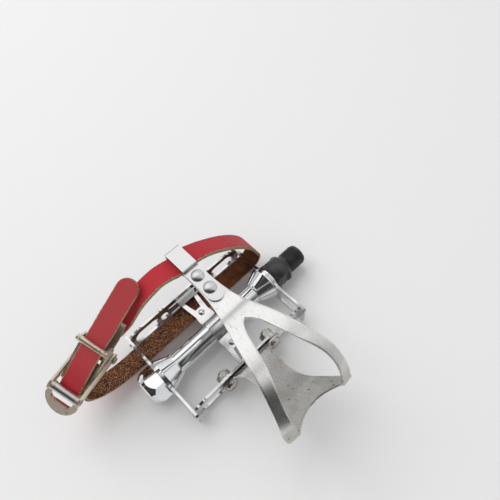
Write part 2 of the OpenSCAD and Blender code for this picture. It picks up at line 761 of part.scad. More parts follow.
// Rows along the strap's middle line, from its folded end round the loop to the tip of its
// tail: x, y and z, then the direction of the strap's width.
across = in_loop([0, 1, 0]);
function held(points) = [for (p = points) concat(from_buckle(p), across)];
function free(points) = [for (p = points) concat([p[0], p[1], p[2]],
    (1 - p[3]) * [0, 1, 0] + p[3] * across + [0, 0, -p[4]])];
span_a = from_buckle(off_bar(10, wrap_r));
span_b = [-guide_len / 2, 0, strap_top];
foot_a = [-half_len, 0, strap_low];
foot_b = from_buckle([-6.5, -18]);
function between(a, b, shares) = [for (p = shares) [a[0] + p[0] * (b[0] - a[0]),
    a[1] + p[1] * (b[1] - a[1]), a[2] + p[2] * (b[2] - a[2]), p[3], p[4]]];
strap_line = smooth(concat(
    held([for (u = [11, 6, 1.5]) off_bar(u, -wrap_r)]),
    held([for (a = [-90:-45:-270]) off_bar(wrap_r * cos(a), wrap_r * sin(a))]),
    held([for (u = [3, 10]) off_bar(u, wrap_r)]),
    free(between(span_a, span_b, [[0.22, 0.3, 0.27, 0.6, 0], [0.345, 0.47, 0.55, 0.35, 0.06],
        [0.465, 0.62, 0.8, 0.2, 0.14], [0.605, 0.78, 0.98, 0.08, 0.22], [0.74, 0.9, 1.1, 0, 0.2],
        [0.87, 0.97, 1.09, 0, 0.1]])),
    free([[-guide_len / 2, 0, strap_top, 0, 0], [guide_len / 2, 0, strap_top, 0, 0]]),
    free([for (p = [[0.19, 0.981, 0.1], [0.38, 0.9, 0.18], [0.67, 0.724, 0.12], [0.9, 0.535, 0.04],
        [1.045, 0.37, 0], [1.14, 0.2, 0]]) [p[0] * half_len, 0, p[1] * strap_top, 0, p[2]]]),
    free([[half_len + 8.4, 0, strap_low + 8.6, 0, 0], [half_len + 6.4, 0, strap_low + 3, 0, 0],
        [half_len, 0, strap_low + 0.5, 0, 0], [half_len - 10, 0, strap_low, 0, 0],
        [0, 0, strap_low, 0, 0], [-half_len + 12, 0, strap_low, 0, 0],
        [-half_len, 0, strap_low, 0, 0]]),
    free(between(foot_a, foot_b, [[0.26, 0.04, -0.04, 0, 0], [0.5, 0.16, -0.01, 0.08, 0],
        [0.71, 0.35, 0.12, 0.25, 0], [0.88, 0.6, 0.34, 0.5, 0], [0.98, 0.82, 0.63, 0.8, 0]])),
    held([[-6.5, -18], [-4.5, -14], [-2.6, -10], [-1.4, -6.8], [0, -4.6], [2, -3.6],
        [8, -2.9], [18, -0.4], [30, 0.5], [43, 0.8], [56, 1.1], [71, 1.4]])), 4);
strap_n = len(strap_line);

// Corner of the strap's cross-section at a station, on its side s and face t.
function point(p) = [p[0], p[1], p[2]];
function strap_corner(i, s, t) =
    let (p = point(strap_line[i]),
        run = point(strap_line[min(i + 1, strap_n - 1)]) - point(strap_line[max(i - 1, 0)]),
        d = run / norm(run),
        e = [strap_line[i][3], strap_line[i][4], strap_line[i][5]],
        w = e - (e * d) * d,
        side = w / norm(w))
    p + s * strap_w / 2 * side + t * strap_t / 2 * cross(d, side) - [cage_offset, 0, 0];

module strap_body() {
    m = 4 * (strap_n - 1);
    leaning()
        polyhedron(
            [for (i = [0:strap_n - 1]) for (c = [[-1, -1], [1, -1], [1, 1], [-1, 1]])
                strap_corner(i, c[0], c[1])],
            concat(quad(0, 1, 2, 3), quad(m + 3, m + 2, m + 1, m),
                [for (i = [0:strap_n - 2]) for (j = [0:3]) let (k = 4 * i, e = (j + 1) % 4)
                    each quad(k + j, k + 4 + j, k + 4 + e, k + e)]),
            convexity = 8);
}

tail_tip = [71, 1.4];
tip_angle = 1;                            // slope of the tail at its tip

// Rounds the tip of the strap's tail.
module tip_trim() {
    in_buckle()
        translate([tail_tip[0], 0, tail_tip[1]])
            rotate([0, -tip_angle, 0])
                translate([-strap_w / 2, 0, -0.7 * strap_t])
                    difference() {
                        translate([0, -strap_w, 0]) cube([strap_w, 2 * strap_w, 1.4 * strap_t]);
                        translate([0, 0, -1]) cylinder(h = 1.4 * strap_t + 2, r = strap_w / 2);
                    }
}

rivet_at = off_bar(7.5, 0);

module on_strap_end() {
    in_buckle()
        translate([rivet_at[0], 0, rivet_at[1]])
            rotate([0, -end_slope, 0]) children();
}

module toe_strap() {
    color([0.68, 0.12, 0.16])
        difference() {
            strap_body();
            tip_trim();
            on_strap_end() cylinder(h = 4 * strap_t + 4, r = pin_r + fit_gap, center = true);
        }
}

module strap_rivet() {
    color([0.7, 0.65, 0.5])
        on_strap_end()
            domed_rivet(pin_d, pin_d + 3, 0.5, 0.9, -wrap_r - strap_t / 2, wrap_r + strap_t / 2);
}

// Buckle

keeper_at = [31, 3.4];                    // bar over the tail
keeper_r = 1.7;

module buckle_cheek(y0) {
    buckle_side(y0, y0 + cheek_t)
        difference() {
            polygon([[3.2, -5], [12, -4], [20, -2.4], [26.5, -1.4], [29.3, 0.8], [29.3, 3.4],
                [29.8, 4.6], [31, 5.1], [32.2, 4.6], [32.7, 3.4], [33, -2.5], [31, -8],
                [26.5, -12], [25.7, -14.3], [24.8, -16.6], [22.5, -17.5], [20.2, -16.6],
                [16.5, -12.2], [3.2, -7]]);
            translate(bar_at) circle(bar_r + fit_gap);
        }
}

apron_line = smooth([[26.8, -9], [32, -9.3], [38, -8.8], [43, -7.4], [46.2, -5.3], [46.8, -3.5],
    [46, -2.4]], 4);

module buckle_frame() {
    color([0.55, 0.53, 0.5])
        union() {
            for (y0 = [cheek_y, -cheek_out]) buckle_cheek(y0);
            buckle_side(-cheek_out - 0.9, cheek_out + 0.9)
                translate(keeper_at) circle(keeper_r - 0.1);
            buckle_side(-cheek_y - 0.6, cheek_y + 0.6)
                polygon([[3.4, -6.4], [20, -6.4], [20, -5.2], [3.4, -5.2]]);
            buckle_side(-cheek_y - 0.6, cheek_y + 0.6) polygon(band(apron_line, 1));
        }
}

// A pin across the buckle with a head at each end.
module buckle_pin(at, half, r, head_r, head_t) {
    in_buckle()
        translate([at[0], half + head_t, at[1]])
            rotate([90, 0, 0])
                rotate_extrude()
                    polygon([[0, 0], [head_r - 0.4, 0], [head_r, 0.4], [head_r, head_t], [r, head_t],
                        [r, 2 * half + head_t], [head_r, 2 * half + head_t],
                        [head_r, 2 * half + 2 * head_t - 0.4],
                        [head_r - 0.4, 2 * half + 2 * head_t], [0, 2 * half + 2 * head_t]]);
}

module strap_bar() {
    color([0.5, 0.48, 0.45]) buckle_pin(bar_at, yoke_out + free_gap, bar_r, 2.1, 1.3);
}

module roller_pin() {
    color([0.5, 0.48, 0.45]) buckle_pin([0, 0], yoke_out + fit_gap, pin_r, pin_r + 0.6, 0.5);
}

module buckle_roller() {
    color([0.62, 0.62, 0.62])
        in_buckle()
            rotate([90, 0, 0])
                difference() {
                    cylinder(h = 2 * ear_y - 0.2, r = roller_r, center = true);
                    cylinder(h = 2 * cheek_y + 2, r = pin_r + run_gap, center = true);
                }
}

// Yoke: two arms that swing on the strap bar, and a ring for the finger beyond the roller
yoke_tilt = 14;                           // how far the ring dips below the tail's direction
ring_t = 1.8;

module yoke_arm(y0) {
    buckle_side(y0, y0 + cheek_t)
        difference() {
            polygon([[26.1, -13.6], [25.2, -11.8], [23.6, -10.9], [17.3, -7.4], [8.6, -1.8], [2.6, 2.4],
                [0.6, 3], [-1.6, 2.5], [-3, 0.9], [-3.1, -1.4], [-1.6, -3.2], [1, -4],
                [5.9, -6.8], [13.9, -12.9], [19.6, -17], [22.4, -18], [24.8, -17.2], [26, -15.6]]);
            translate(bar_at) circle(bar_r + run_gap);
        }
}

module yoke_ring() {
    half = [[-0.5, yoke_out - 0.3], [-3, yoke_out - 0.2], [-6, 9.9], [-9.2, 8.5], [-11.8, 6.2],
        [-13.4, 3.2]];
    in_buckle()
        rotate([0, -yoke_tilt, 0])
            translate([0, 0, -ring_t / 2])
                linear_extrude(ring_t)
                    difference() {
                        polygon(concat([[-0.5, yoke_y]], half, [[-13.9, 0]],
                            back([for (p = half) [p[0], -p[1]]]), [[-0.5, -yoke_y], [-0.5, -ear_y], [-2.5, -ear_y],
                            [-2.5, ear_y], [-0.5, ear_y]]));
                        polygon([[-2, -ear_y], [-2, ear_y], [-5.8, ear_y], [-7, ear_y - 1.2], [-7, 1.2 - ear_y],
                            [-5.8, -ear_y]]);
                    }
}

module buckle_yoke() {
    color([0.5, 0.47, 0.42])
        difference() {
            union() {
                for (y0 = [yoke_y, -yoke_out]) yoke_arm(y0);
                for (y0 = [ear_y, -yoke_y - 0.1])
                    buckle_side(y0, y0 + yoke_y + 0.1 - ear_y) circle(2.6);
                yoke_ring();
            }
            buckle_side(-yoke_out - 1, yoke_out + 1) circle(pin_r + fit_gap);
        }
}

barrel_tube();
inner_cup();
outer_cup();
inner_end_plate();
outer_end_plate();
front_cage_plate();
rear_cage_plate();
bridge_upper();
bridge_lower();
bridge_rivets();
dust_cap();
spindle();
outer_cone();
lock_washer();
lock_nut();
inner_balls();
outer_balls();
toe_clip();
clip_bolts();
clip_washers();
clip_nuts();
strap_guide();
guide_rivets();
toe_strap();
strap_rivet();
buckle_frame();
strap_bar();
buckle_yoke();
roller_pin();
buckle_roller();
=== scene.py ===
# %% [markdown]
# # A caged road pedal with a toe clip and a leather strap
#
# The rigid parts come from the packed CAD model and stay where they are. This script gives them
# their finishes, and models in Blender what CAD can't do well: the fine thread, the toe clip's bent
# sheet and the leather strap.

# %% The frame and the helpers' imports
import bisect
import json
import math

import bmesh
import bpy
from mathutils import Euler, Matrix, Vector, noise


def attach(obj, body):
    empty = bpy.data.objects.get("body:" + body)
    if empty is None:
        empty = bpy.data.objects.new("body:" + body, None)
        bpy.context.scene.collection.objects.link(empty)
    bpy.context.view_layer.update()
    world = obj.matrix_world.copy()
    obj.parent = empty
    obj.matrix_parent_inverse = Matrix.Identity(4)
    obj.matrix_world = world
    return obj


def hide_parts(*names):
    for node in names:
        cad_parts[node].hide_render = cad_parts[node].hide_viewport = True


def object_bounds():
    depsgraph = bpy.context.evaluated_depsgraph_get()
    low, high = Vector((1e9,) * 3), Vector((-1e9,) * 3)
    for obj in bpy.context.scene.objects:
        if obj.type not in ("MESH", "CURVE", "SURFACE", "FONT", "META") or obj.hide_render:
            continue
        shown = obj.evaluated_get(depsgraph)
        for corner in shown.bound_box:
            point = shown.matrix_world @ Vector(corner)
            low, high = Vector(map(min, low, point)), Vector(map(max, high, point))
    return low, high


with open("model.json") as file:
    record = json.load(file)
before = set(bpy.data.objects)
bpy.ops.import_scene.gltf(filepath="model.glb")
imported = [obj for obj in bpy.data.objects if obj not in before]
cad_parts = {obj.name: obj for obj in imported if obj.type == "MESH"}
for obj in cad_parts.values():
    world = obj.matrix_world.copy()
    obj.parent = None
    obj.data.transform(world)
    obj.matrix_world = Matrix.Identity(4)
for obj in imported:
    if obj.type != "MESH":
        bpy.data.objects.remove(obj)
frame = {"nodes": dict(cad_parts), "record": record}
cad_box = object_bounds()
nodes = frame["nodes"]
MM = 0.001                  # lengths are written in millimetres, and Blender's are in metres
CAGE_X = -61                # the cage's middle, from the shoulder of the thread
print("CAD nodes:", len(nodes))

# %% [markdown]
# ## Shader maths in Python
#
# A node tree is easier to read as a formula. `Val` wraps a socket, so `1 - mask * 0.3` adds the
# Math nodes for it, and `Graph.node` makes any other node from its type, settings and inputs.


# %% Values
class Val:
    """A socket that Python expressions can combine."""

    def __init__(self, graph, socket):
        self.graph, self.socket = graph, socket

    def math(self, operation, *others):
        return self.graph.maths(operation, self, *others)

    def __add__(self, other):
        return self.math("ADD", other)

    def __sub__(self, other):
        return self.math("SUBTRACT", other)

    def __mul__(self, other):
        return self.math("MULTIPLY", other)

    def __rsub__(self, other):
        return self.graph.maths("SUBTRACT", other, self)

    __radd__ = __add__
    __rmul__ = __mul__


print("Val adds Math nodes for + - *")


# %% Graphs
class Graph:
    """A node tree that is built by expressions."""

    def __init__(self, tree):
        self.tree = tree
        tree.nodes.clear()

    def node(self, kind, settings=None, inputs=None):
        """A node of a type, with its settings, and its sockets' values or links."""
        made = self.tree.nodes.new(kind)
        for name, value in (settings or {}).items():
            setattr(made, name, value)
        for key, value in (inputs or {}).items():
            socket = made.inputs[key]
            if isinstance(value, Val):
                self.tree.links.new(value.socket, socket)
            else:
                if socket.type == "RGBA" and len(value) == 3:
                    value = (*value, 1)
                socket.default_value = value
        return made

    def out(self, made, key=0):
        return Val(self, made.outputs[key])

    def maths(self, operation, *values):
        return self.out(self.node("ShaderNodeMath", {"operation": operation}, dict(enumerate(values))))

    def smooth(self, value, low, high):
        """0 below low, 1 above high, and smooth between them."""
        return self.out(self.node("ShaderNodeMapRange", {"interpolation_type": "SMOOTHSTEP"},
                                  {"Value": value, "From Min": low, "From Max": high}))

    def mix(self, factor, first, second):
        made = self.node("ShaderNodeMix", {"data_type": "RGBA"}, {0: factor, 6: first, 7: second})
        return self.out(made, 2)

    def place(self):
        return self.out(self.node("ShaderNodeTexCoord"), "Object")

    def stretched(self, vector, scale, turn=(0, 0, 0)):
        """Coordinates for a pattern that is finer where scale is larger."""
        return self.out(self.node("ShaderNodeMapping", {},
                                  {"Vector": vector, "Scale": scale, "Rotation": turn}))

    def flat(self):
        """A bent strip's point while it was flat: its place, and along, across and up in mm."""
        place = self.out(self.node("ShaderNodeAttribute", {"attribute_name": "flat"}), "Vector")
        parts = self.node("ShaderNodeSeparateXYZ", {}, {0: place})
        along, across, up = (self.out(parts, axis) * 1000 for axis in "XYZ")
        return place, along, self.maths("ABSOLUTE", across), up

    def noise(self, scale, detail=3, rough=0.5, vector=None):
        made = self.node("ShaderNodeTexNoise", {},
                         {"Vector": vector or self.place(), "Scale": scale, "Detail": detail,
                          "Roughness": rough})
        return self.out(made)

    def cells(self, scale, vector):
        """The distance to the nearest of scattered points."""
        made = self.node("ShaderNodeTexVoronoi", {}, {"Vector": vector, "Scale": scale})
        return self.out(made, "Distance")

    def bump(self, height, distance, strength=1.0):
        made = self.node("ShaderNodeBump", {},
                         {"Height": height, "Distance": distance, "Strength": strength})
        return self.out(made)


def finish_of(name, build, **settings):
    """A material whose Principled shader gets what build(graph) returns, and constant settings."""
    material = bpy.data.materials.new(name)
    material.use_nodes = True
    graph = Graph(material.node_tree)
    shader = graph.node("ShaderNodeBsdfPrincipled", {}, {**settings, **build(graph)})
    graph.node("ShaderNodeOutputMaterial", {}, {"Surface": graph.out(shader)})
    return material


print("Graph makes:", ", ".join(name for name in vars(Graph) if not name.startswith("_")))

# %% [markdown]
# ## The camera
#
# The camera stands where the photograph was taken from: above the outer, front corner of the pedal,
# looking down at it, with the pedal low in the frame.

# %% Camera
CAMERA_PLACE = Vector((-114.92, -94.90, 282.05)) * MM
CAMERA_DEGREES = (29.703, 1.557, -44.797)
FOCAL_LENGTH, SENSOR = 34.17, 36

scene = bpy.context.scene
scene.view_settings.view_transform = "Standard"


def put(name, data):
    """A new object in the scene, at the origin."""
    made = bpy.data.objects.new(name, data)
    scene.collection.objects.link(made)
    return made


camera = put("camera", bpy.data.cameras.new("camera"))
camera.data.sensor_width = SENSOR
camera.data.lens = FOCAL_LENGTH
camera.data.clip_start = 0.01
camera.location = CAMERA_PLACE
camera.rotation_euler = Euler([math.radians(degrees) for degrees in CAMERA_DEGREES], "XYZ")
scene.camera = camera
print("camera at", [round(c / MM) for c in CAMERA_PLACE], "mm")

# %% [markdown]
# ## The floor
#
# A plain white sheet of paper. The pedal stands on the teeth of its cage plates, so the floor lies
# just under the lowest of them.

# %% Floor
FLOOR_GAP = 0.1 * MM
FLOOR_HALF = 4

floor_z = cad_box[0].z - FLOOR_GAP
floor_mesh = bpy.data.meshes.new("floor")
bm = bmesh.new()
bmesh.ops.create_grid(bm, x_segments=1, y_segments=1, size=FLOOR_HALF)
bmesh.ops.translate(bm, vec=(0, 0, floor_z), verts=bm.verts)
bm.to_mesh(floor_mesh)
bm.free()
floor = put("floor", floor_mesh)


def paper(g):
    grain = g.noise(40, 2)
    return {"Base Color": g.mix(grain * 0.25, (0.83, 0.83, 0.83), (0.80, 0.80, 0.80)),
            "Roughness": 0.8}


floor_mesh.materials.append(finish_of("paper", paper, **{"Specular IOR Level": 0.2}))
print("floor at", round(floor_z / MM, 2), "mm")

# %% [markdown]
# ## The light
#
# Chrome is a mirror, so it looks like the room it stands in. The room here is a world with a bright
# ceiling that glows overhead. Its wall behind and its foot are duller, two beams cross it, and it is
# dark in front, on the camera's side. Only glossy rays see that room. Everything else gets an even
# light and one large, soft, distant lamp, which the glossy rays in turn don't see, so that it burns no
# white patches into the steel.

# %% World and lamps
world = bpy.data.worlds.new("room")
scene.world = world
world.use_nodes = True
room = Graph(world.node_tree)
ray = room.out(room.node("ShaderNodeTexCoord"), "Generated")


def towards(direction):
    """The cosine of the angle between a ray and a direction."""
    made = room.node("ShaderNodeVectorMath", {"operation": "DOT_PRODUCT"},
                     {0: ray, 1: Vector(direction).normalized()})
    return room.out(made, "Value")


def beam(direction, place, half):
    """A dark strip across the room, seen where the direction's cosine is near place."""
    return 1 - room.smooth(room.maths("ABSOLUTE", towards(direction) - place), half * 0.5, half)


EVEN_LIGHT, CEILING = 0.62, 0.84
LAMP_FROM_MIDDLE, LAMP_SIZE, LAMP_WATTS = Vector((-0.25, 1.15, 1.65)), 1.9, 25

front = room.smooth(towards((-0.78, -0.60, 0.22)), 0.18, 0.46)
back_wall = room.smooth(towards((0.15, 0.97, 0.08)), 0.90, 0.99)
skirting = 1 - room.smooth(towards((0, 0, 1)), 0.02, 0.36)
beams = beam((0, 0.6, 0.8), 0.87, 0.03) + beam((0.2, 1, 0), 0.12, 0.05)
glow = room.smooth(towards((0.10, 0.45, 0.88)), 0.74, 0.99)
seen = (CEILING + glow * 0.42 - back_wall * 0.30) * (1 - beams * 0.65) * (1 - skirting * 0.4)
seen = seen * (1 - front * 0.94)
glossy = room.out(room.node("ShaderNodeLightPath"), "Is Glossy Ray")
strength = glossy * (seen - EVEN_LIGHT) + EVEN_LIGHT
sky = room.node("ShaderNodeBackground", {}, {"Color": (1, 1, 1), "Strength": strength})
room.node("ShaderNodeOutputWorld", {}, {"Surface": room.out(sky)})

middle = (cad_box[0] + cad_box[1]) / 2
lamp = put("window", bpy.data.lights.new("window", "AREA"))
lamp.data.shape = "SQUARE"
lamp.data.size = LAMP_SIZE
lamp.data.energy = LAMP_WATTS
lamp.location = middle + LAMP_FROM_MIDDLE
lamp.rotation_euler = (middle - lamp.location).to_track_quat("-Z", "Y").to_euler()
lamp.visible_glossy = False
print("lamp:", LAMP_WATTS, "W")

# %% [markdown]
# ## Chrome
#
# Chrome plating is a mirror with hardly any colour of its own. What makes it look used is what lies
# on it: faint wiping marks that make the mirror a little blurred in places.


# %% Chrome finishes
def chrome(tone, blur, marks):
    """Plating of a tone and a least roughness, with more or fewer marks on it."""
    def build(g):
        wipes = g.noise(60, 3, vector=g.stretched(g.place(), (1, 5, 5)))
        specks = g.smooth(g.noise(900, 2), 0.62, 0.75)
        dull = g.smooth(g.noise(90, 4), 0.45, 0.75)
        return {"Base Color": g.mix(dull * marks, tone, [c * 0.72 for c in tone]),
                "Roughness": blur + wipes * 0.05 + dull * marks * 0.12 + specks * marks * 0.2,
                "Normal": g.bump(wipes, 0.00002, 0.3)}
    return build


finishes = {
    "tube_chrome": finish_of("tube_chrome", chrome((0.83, 0.84, 0.86), 0.05, 0.3), Metallic=1.0),
    "plate_chrome": finish_of("plate_chrome", chrome((0.70, 0.70, 0.70), 0.13, 0.9), Metallic=1.0),
}
print("chrome:", len(finishes))


# %% [markdown]
# ## Satin steel
#
# The guide, the bolts, the bearings and the buckle are plain steel with a worn satin finish. It is
# streaked across the spindle's direction, and small brown pits are scattered over it in patches. The
# strap's rivet is brass, and takes the same marks.


# %% Steel finishes
STEELS = {                  # tone, least roughness, pits, their stain, metallic
    "guide_steel": ((0.70, 0.705, 0.70), 0.22, 0.3, (0.25, 0.2, 0.15), 1.0),
    "bearing_steel": ((0.74, 0.74, 0.75), 0.14, 0.4, (0.22, 0.18, 0.14), 1.0),
    "bolt_zinc": ((0.50, 0.48, 0.43), 0.22, 1.7, (0.12, 0.08, 0.04), 1.0),
    "roller_steel": ((0.72, 0.72, 0.72), 0.3, 0.3, (0.25, 0.2, 0.15), 1.0),
    "buckle_steel": ((0.84, 0.74, 0.60), 0.36, 1.6, (0.17, 0.11, 0.07), 0.95),
    "buckle_dark": ((0.40, 0.36, 0.33), 0.34, 1.7, (0.11, 0.07, 0.05), 0.95),
    "rivet_brass": ((0.62, 0.50, 0.28), 0.3, 1.0, (0.2, 0.12, 0.05), 1.0)}


def satin(tone, blur, pits, stain):
    """Steel of a tone and a least roughness, with more or fewer pits of the stain's colour."""
    def build(g):
        streaks = g.noise(220, 3, vector=g.stretched(g.place(), (4, 1, 1)))
        cloud = g.noise(45, 4)
        pitted = g.smooth(g.noise(700, 3, 0.6), 0.70 - 0.10 * pits, 0.78 - 0.08 * pits)
        pitted = pitted * g.smooth(cloud, 0.42, 0.62)
        clean = g.mix(cloud * 0.5, tone, [c * 0.86 for c in tone])
        return {"Base Color": g.mix(pitted * 0.8, clean, stain),
                "Roughness": blur + streaks * 0.08 + pitted * 0.25,
                "Normal": g.bump(streaks - pitted * 0.6, 0.00004, 0.25)}
    return build


for steel, (tone, blur, pits, stain, metallic) in STEELS.items():
    finishes[steel] = finish_of(steel, satin(tone, blur, pits, stain), Metallic=metallic)
print("steels:", ", ".join(STEELS))


# %% [markdown]
# ## Blackened steel
#
# The spindle is blackened in hot salts. The coat is thin and oily: almost black, worn to a dark grey
# in patches, with soft highlights.


# %% Black finish
def blackened(g):
    cloud = g.noise(150, 4)
    worn = g.smooth(cloud, 0.4, 0.8)
    return {"Base Color": g.mix(worn, (0.018, 0.019, 0.021), (0.05, 0.05, 0.052)),
            "Roughness": 0.28 + cloud * 0.2,
            "Normal": g.bump(g.noise(1500, 2), 0.00003, 0.3)}


finishes["black_steel"] = finish_of("black_steel", blackened, **{"Specular IOR Level": 0.6})
print("finishes so far:", len(finishes))

# %% [markdown]
# ## The spindle's thread
#
# The crank end of the spindle has a fine thread, 20 turns to the inch. The CAD model has a plain
# cylinder there, at the thread's outer size. A copy of it is turned down to the thread's root, and a
# ridge is spun round it. The spin moves along a little at each step, which makes the helix.

# %% The spindle with its thread
PITCH, CREST, ROOT = 1.27, 7.14, 6.45
THREAD_START, THREAD_END = 1.0, 13.4
RUN_IN, RUN_OUT, PAST_END = 0.8, 1.0, 0.3       # lengths over which the ridge grows and fades
FOOT = ROOT - 0.06                              # the ridge stands a little below the root
AROUND, SHARP = 48, math.radians(35)

bm = bmesh.new()
steps = int(((THREAD_END - THREAD_START) / PITCH - 1) * AROUND)
profile = [(0.10, FOOT), (0.44, CREST), (0.56, CREST), (0.90, FOOT)]
ring = [bm.verts.new((THREAD_START + place * PITCH, 0, radius)) for place, radius in profile]
loop = [bm.edges.new((ring[i - 1], ring[i])) for i in range(len(ring))]
bm.faces.new(ring)
spun = bmesh.ops.spin(bm, geom=ring + loop, cent=(0, 0, 0), axis=(1, 0, 0), steps=steps,
                      dvec=(PITCH / AROUND, 0, 0), angle=2 * math.pi * steps / AROUND)
last_loop = [part for part in spun["geom_last"] if isinstance(part, bmesh.types.BMEdge)]
bmesh.ops.contextual_create(bm, geom=last_loop)
for vert in bm.verts:
    radius = math.hypot(vert.co.y, vert.co.z)
    grown = (vert.co.x - THREAD_START) / RUN_IN
    left = (THREAD_END + PAST_END - vert.co.x) / RUN_OUT
    wanted = FOOT + (radius - FOOT) * max(min(grown, left, 1), 0)
    vert.co.y, vert.co.z = vert.co.y * wanted / radius, vert.co.z * wanted / radius
bmesh.ops.scale(bm, vec=(MM, MM, MM), verts=bm.verts)
bmesh.ops.recalc_face_normals(bm, faces=list(bm.faces))
ridge_mesh = bpy.data.meshes.new("thread_ridge")
bm.to_mesh(ridge_mesh)
bm.clear()

SAME_PLACE = 0.001 * MM
JUST_SHORT, AT_SHOULDER = 0.05, -0.01           # what still counts as the plain cylinder

bm.from_mesh(nodes["spindle"].data)
bmesh.ops.remove_doubles(bm, verts=bm.verts, dist=SAME_PLACE)
for vert in bm.verts:
    radius = math.hypot(vert.co.y, vert.co.z) / MM
    if radius > CREST - JUST_SHORT and AT_SHOULDER < vert.co.x / MM < THREAD_END:
        vert.co.y *= ROOT / radius
        vert.co.z *= ROOT / radius
bm.from_mesh(ridge_mesh)
spindle_mesh = bpy.data.meshes.new("threaded_spindle")
bm.to_mesh(spindle_mesh)
bm.free()
spindle_mesh.materials.clear()
spindle_mesh.materials.append(finishes["black_steel"])
spindle_mesh.set_sharp_from_angle(angle=SHARP)
spindle = put("threaded_spindle", spindle_mesh)
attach(spindle, "axle")
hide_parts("spindle")
print("thread:", steps, "steps,", len(spindle_mesh.polygons), "faces in the spindle")

# %% [markdown]
# ## Bent strips
#
# The toe clip and the strap are both made as the real ones are: a blank is cut flat, its rims are
# rounded, and then it is bent along a line. The blank is a grid that is extruded to its thickness. The
# flat place of every point stays with it as the attribute `flat`, which the finishes read. The line
# runs smoothly through rows of numbers, and a row may hold a width or a direction as well as a place.


# %% Curves through rows of numbers
def bend(p0, p1, p2, p3, t):
    """A Catmull-Rom curve from p1 to p2."""
    return 0.5 * (2 * p1 + (p2 - p0) * t + (2 * p0 - 5 * p1 + 4 * p2 - p3) * t * t
                  + (3 * p1 - p0 - 3 * p2 + p3) * t * t * t)


def curve_through(rows, steps):
    """Points on one smooth curve, with so many steps from each row to the next."""
    last = len(rows) - 1
    line = [bend(rows[max(i - 1, 0)], rows[i], rows[i + 1], rows[min(i + 2, last)], k / steps)
            for i in range(last) for k in range(steps)]
    return line + [rows[last]]


def lengths_along(points):
    """The length of the line up to each point."""
    reached = [0.0]
    for a, b in zip(points, points[1:]):
        reached.append(reached[-1] + (b - a).length)
    return reached


def station(points, reached, along):
    """What lies at a length along a line: segment, share of it, place and direction."""
    i = min(max(bisect.bisect(reached, along) - 1, 0), len(points) - 2)
    share = (along - reached[i]) / (reached[i + 1] - reached[i])
    before = (points[i + 1] - points[max(i - 1, 0)]).normalized()
    after = (points[min(i + 2, len(points) - 1)] - points[i]).normalized()
    return i, share, points[i].lerp(points[i + 1], share), before.lerp(after, share).normalized()


print("half way from 1 to 2 on an even curve:", bend(0, 1, 2, 3, 0.5))


# %% Blanks and their bending
RIM_ANGLE = 1                                   # radians between the faces of an edge to round


def blank(length, stations, columns, thick):
    """The lower face of a flat strip: along from 0 to length, across one unit to a column."""
    bm = bmesh.new()
    bmesh.ops.create_grid(bm, x_segments=stations, y_segments=columns, size=0.5)
    for vert in bm.verts:
        vert.co = Vector(((vert.co.x + 0.5) * length, vert.co.y * columns, -thick / 2))
    return bm


def thicken(bm, thick, rim):
    """Gives the strip its upper face and its edges, and rounds the rims."""
    made = bmesh.ops.extrude_face_region(bm, geom=list(bm.faces))
    lifted = [part for part in made["geom"] if isinstance(part, bmesh.types.BMVert)]
    bmesh.ops.translate(bm, vec=(0, 0, thick), verts=lifted)
    bmesh.ops.recalc_face_normals(bm, faces=list(bm.faces))
    rims = [e for e in bm.edges if e.is_manifold and e.calc_face_angle() > RIM_ANGLE]
    bmesh.ops.bevel(bm, geom=rims, offset=rim, offset_type="OFFSET", segments=3, profile=0.5,
                    affect="EDGES", material=-1)
    print("open edges:", sum(not e.is_manifold for e in bm.edges))


def bent(name, bm, placed, shape=None):
    """Keeps each point's flat place in metres as `flat`, and moves it to placed(x, y, z)."""
    flat = bm.verts.layers.float_vector.new("flat")
    for vert in bm.verts:
        x, y, z = shape(*vert.co) if shape else vert.co
        vert[flat] = Vector((x, y, z)) * MM
        vert.co = placed(x, y, z)
    mesh = bpy.data.meshes.new(name)
    bm.to_mesh(mesh)
    bm.free()
    mesh.polygons.foreach_set("use_smooth", [True] * len(mesh.polygons))
    print(name + ":", len(mesh.polygons), "faces")
    return put(name, mesh)


print("rims: where faces meet at over", round(math.degrees(RIM_ANGLE)), "degrees")

# %% [markdown]
# ## The toe clip
#
# The clip is one sheet of spring steel. Its tab is bolted to the front plate, its wall runs forward
# and up under the toes, and two arms curl over them and meet in a neck under the strap guide. Each
# row of its middle line has a y, a z and half the blank's width there. The opening follows the rows
# too: it starts at the wall's free edge and ends in the crotch between the arms.

# %% The clip's line and outline
SHEET = 1.2
TAB_Y, REACH, FRONT_Y = -31.2, 50.7, -81.9
BOLT_X, BOLT_Z, EAR = 18, 1, 7
NECK_Z, NECK_HALF, CLIP_HALF, CLIP_TOP = 8.4, 12.3, 23.6, 62.6
GUIDE_Y, NECK_LENGTH = 12.02, 31.5
TOP_LEN = GUIDE_Y - NECK_LENGTH - FRONT_Y

